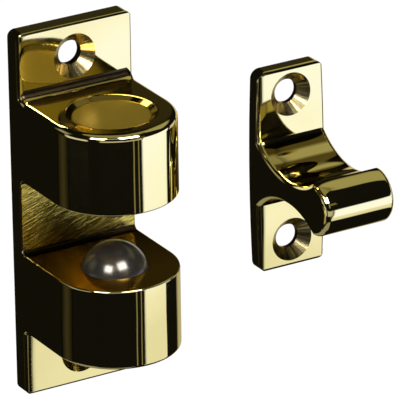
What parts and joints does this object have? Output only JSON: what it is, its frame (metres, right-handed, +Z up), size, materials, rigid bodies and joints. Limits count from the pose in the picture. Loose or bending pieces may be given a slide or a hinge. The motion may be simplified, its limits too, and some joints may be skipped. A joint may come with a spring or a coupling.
{
  "type": "double ball catch",
  "caption": "Surface ball catch: a D-lobed brass body whose sprung steel balls face each other across a gap, with the waisted, round-nosed strike that snaps in between them.",
  "frame": {"origin": "centre of the catch body's back face, halfway between the balls", "axes": "+Z up along the plate, from the lower ball to the upper ball; +Y out of the back into the surface it is screwed to; the lobes stand out towards -Y; the strike stands towards +X"},
  "size_m": [0.0565, 0.0246, 0.0616],
  "materials": {
    "polished_brass": "mirror polished",
    "ball_steel": "ground and polished",
    "spring_steel": "drawn wire"
  },
  "bodies": {
    "root": {"catch_body": "polished_brass", "upper_plug": "polished_brass", "lower_plug": "polished_brass", "upper_spring": "spring_steel", "lower_spring": "spring_steel", "strike": "polished_brass"},
    "upper_ball": {"upper_ball": "ball_steel"},
    "lower_ball": {"lower_ball": "ball_steel"}
  },
  "joints": [
    {"name": "upper_ball_slide", "type": "slide", "parent": "root", "child": "upper_ball", "axis": [0, 0, 1], "range_m": [0, 0.0024], "stiffness_N_per_m": 1900, "springref_m": -0.002, "deforming": ["upper_spring"]},
    {"name": "lower_ball_slide", "type": "slide", "parent": "root", "child": "lower_ball", "axis": [0, 0, -1], "range_m": [0, 0.0024], "stiffness_N_per_m": 1900, "springref_m": -0.002, "deforming": ["lower_spring"]}
  ]
}
